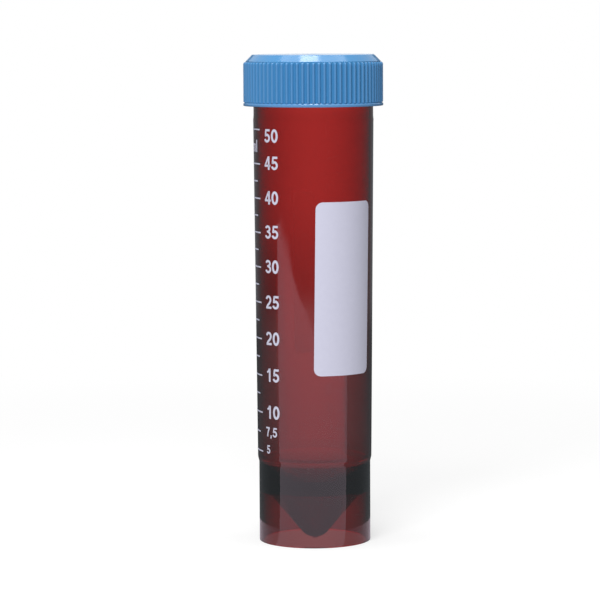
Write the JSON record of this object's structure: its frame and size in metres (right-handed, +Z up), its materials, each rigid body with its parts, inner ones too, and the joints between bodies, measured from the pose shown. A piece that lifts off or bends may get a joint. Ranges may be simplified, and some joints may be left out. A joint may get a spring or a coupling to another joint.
{
  "type": "test tube",
  "caption": "Self-standing conical laboratory tube with a skirted foot, printed volume scale and ribbed screw cap over a captive seal.",
  "frame": {"origin": "centre of the tube's axis in the plane that the skirt stands on", "axes": "+Z up the tube's axis to the cap; the printed scale and writing patch face -Y, with the scale towards -X"},
  "size_m": [0.0344, 0.0344, 0.12],
  "materials": {
    "amber_plastic": "translucent amber polypropylene, smooth",
    "blue_plastic": "light blue polyethylene, glossy",
    "seal_rubber": "soft white seal",
    "white_ink": "white printing ink of the scale and the writing patch"
  },
  "bodies": {
    "tube": {"tube": "amber_plastic"},
    "seal": {"seal": "seal_rubber"},
    "cap": {"cap": "blue_plastic"}
  },
  "joints": [
    {"name": "cap_lift", "type": "slide", "parent": "tube", "child": "seal", "axis": [0, 0, 1], "range_m": [0, 0.012]},
    {"name": "cap_turn", "type": "hinge", "parent": "seal", "child": "cap", "pos_m": [0, 0, 0.114], "axis": [0, 0, 1], "range_deg": [0, 720]}
  ],
  "couplings": [
    {"joint": "cap_lift", "follows": "cap_turn", "m_per_rad": 0.00095492}
  ]
}
